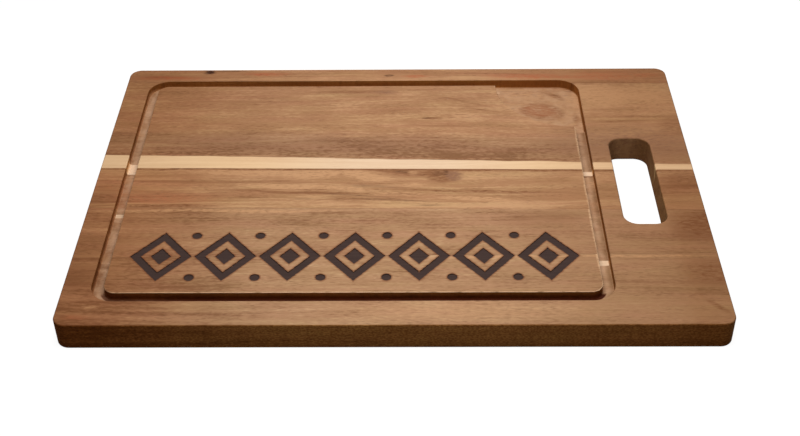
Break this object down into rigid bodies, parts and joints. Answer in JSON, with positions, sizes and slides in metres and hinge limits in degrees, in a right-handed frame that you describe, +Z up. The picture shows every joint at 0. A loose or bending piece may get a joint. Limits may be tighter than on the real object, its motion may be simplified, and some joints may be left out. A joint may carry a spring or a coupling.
{
  "type": "steak board",
  "caption": "Rectangular wooden steak board of edge-glued staves, with a juice groove round the cutting field, a quarter-round corner well and a hand slot at one end.",
  "frame": {"origin": "middle of the underside, on the surface that the board rests on", "axes": "+X along the grain towards the hand slot, +Y towards the back edge beside the corner well, +Z up out of the cutting field"},
  "size_m": [0.4, 0.28, 0.0185],
  "materials": {
    "reddish_acacia": "oiled, satin",
    "sapwood_acacia": "oiled, satin",
    "brown_acacia": "oiled, satin",
    "golden_acacia": "oiled, satin"
  },
  "bodies": {
    "root": {"back_stave": "reddish_acacia", "broad_stave": "sapwood_acacia", "middle_stave": "brown_acacia", "middle_stave_end": "brown_acacia", "inner_stave": "golden_acacia", "front_stave": "brown_acacia"}
  },
  "joints": []
}
